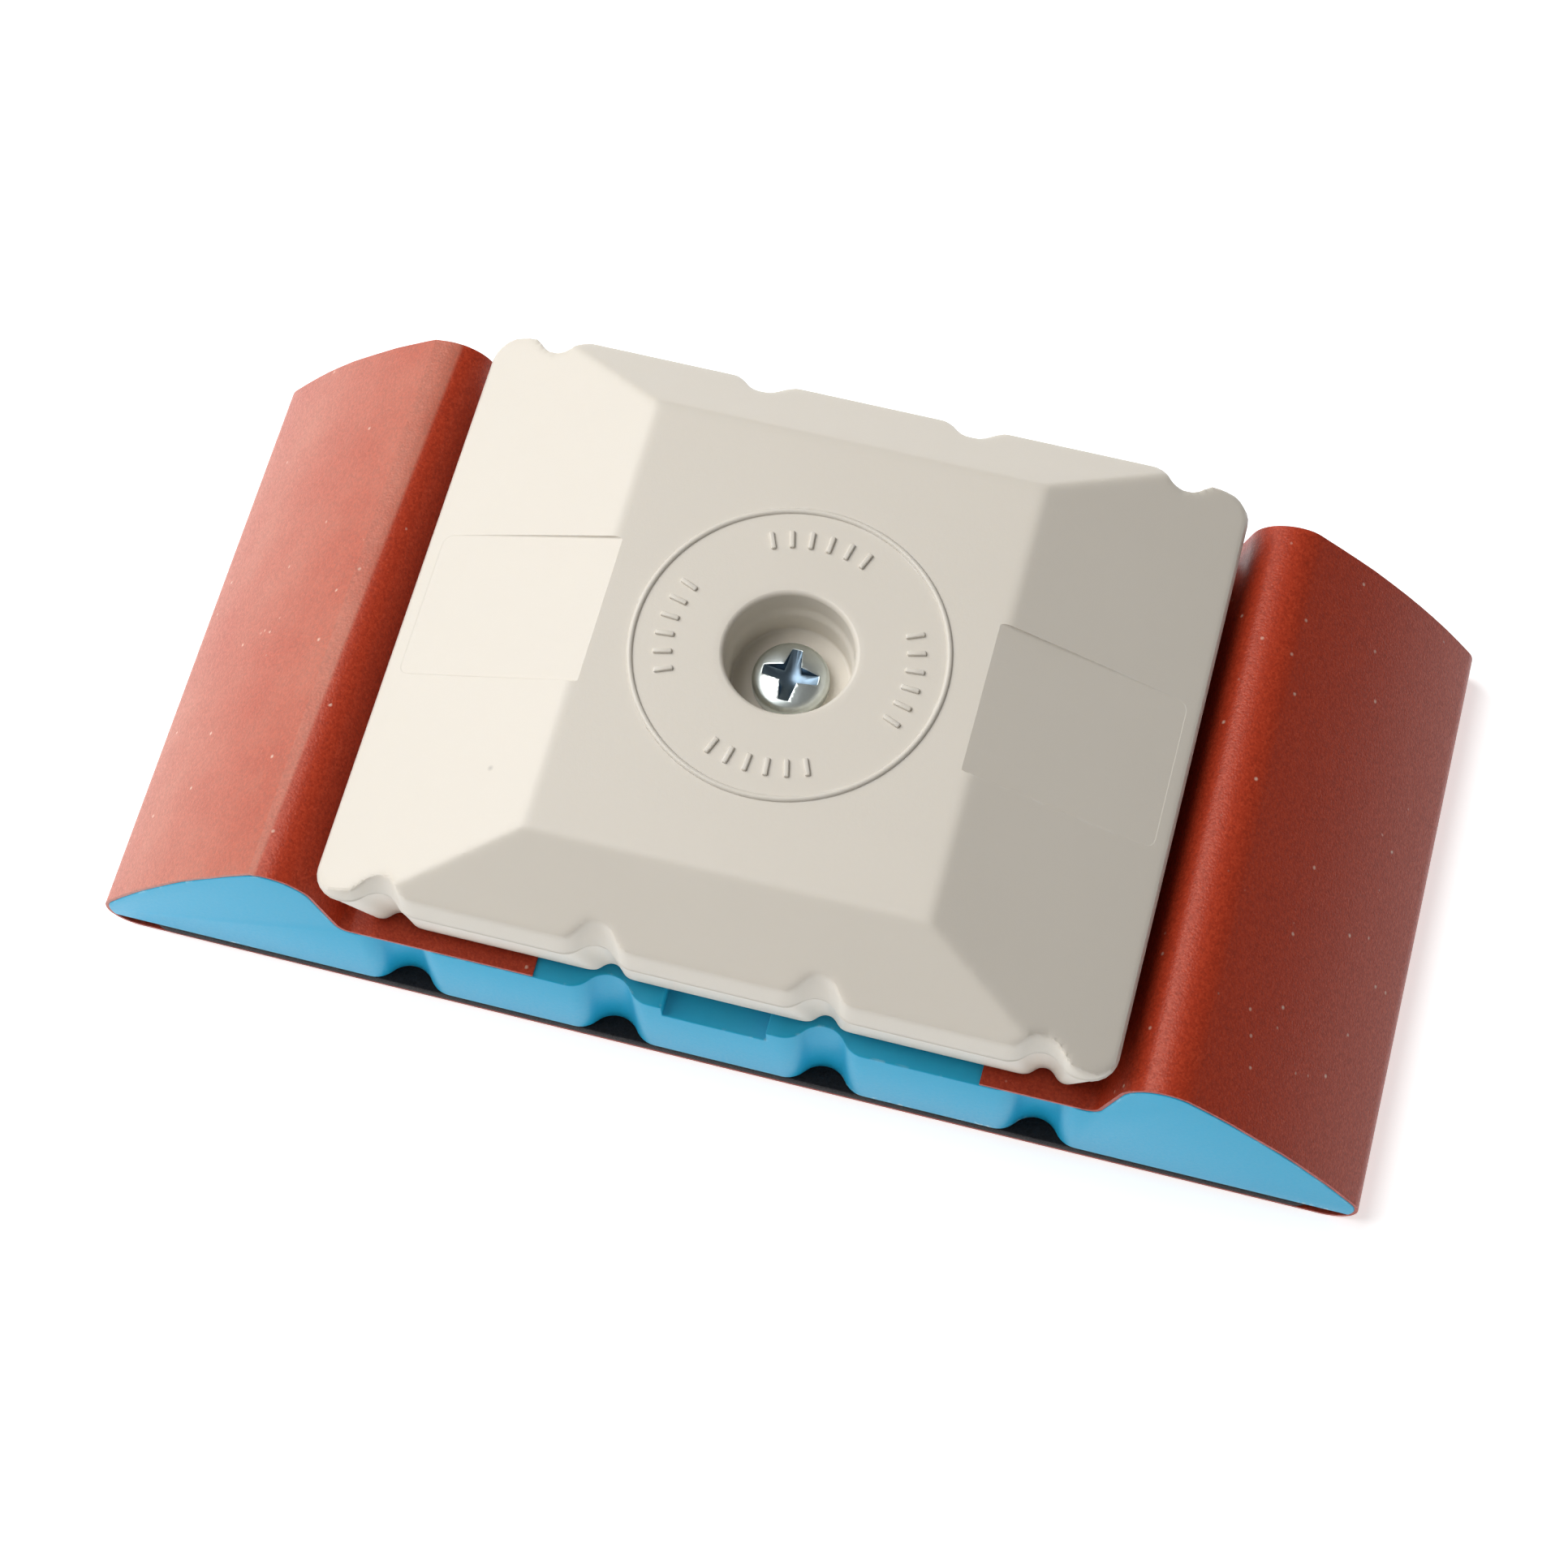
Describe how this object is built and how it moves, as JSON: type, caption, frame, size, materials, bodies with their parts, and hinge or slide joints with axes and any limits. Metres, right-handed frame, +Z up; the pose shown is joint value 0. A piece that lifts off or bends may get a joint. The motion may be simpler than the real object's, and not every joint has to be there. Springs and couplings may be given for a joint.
{
  "type": "sanding block",
  "caption": "Hand sanding block: winged plastic base with a felt sole, an abrasive sheet wrapped round it, and a moulded cover that one screw clamps over the sheet's ends.",
  "frame": {"origin": "middle of the sanding face, which is the under side of the sheet", "axes": "+X along the block's length, +Y across its depth, +Z up from the sanding face through the screw"},
  "size_m": [0.14, 0.0686, 0.0369],
  "materials": {
    "base_plastic": "moulded light blue plastic, satin",
    "sole_felt": "thin black felt",
    "abrasive_paper": "fine brick-red grit on pale paper",
    "cover_plastic": "moulded warm light grey plastic, satin",
    "plated_steel": "bright zinc plate"
  },
  "bodies": {
    "block": {"base": "base_plastic", "sole_pad": "sole_felt", "abrasive_sheet": "abrasive_paper", "captive_nut": "plated_steel"},
    "cover": {"clamp_cover": "cover_plastic"},
    "screw": {"clamp_screw": "plated_steel"}
  },
  "joints": [
    {"name": "screw_turn", "type": "hinge", "parent": "cover", "child": "screw", "pos_m": [0, 0, 0.0292], "axis": [0, 0, 1], "range_deg": [0, 2880]},
    {"name": "cover_lift", "type": "slide", "parent": "block", "child": "cover", "axis": [0, 0, 1], "range_m": [0, 0.0056]}
  ],
  "couplings": [
    {"joint": "screw_turn", "follows": "cover_lift", "rad_per_m": 8975.9}
  ]
}
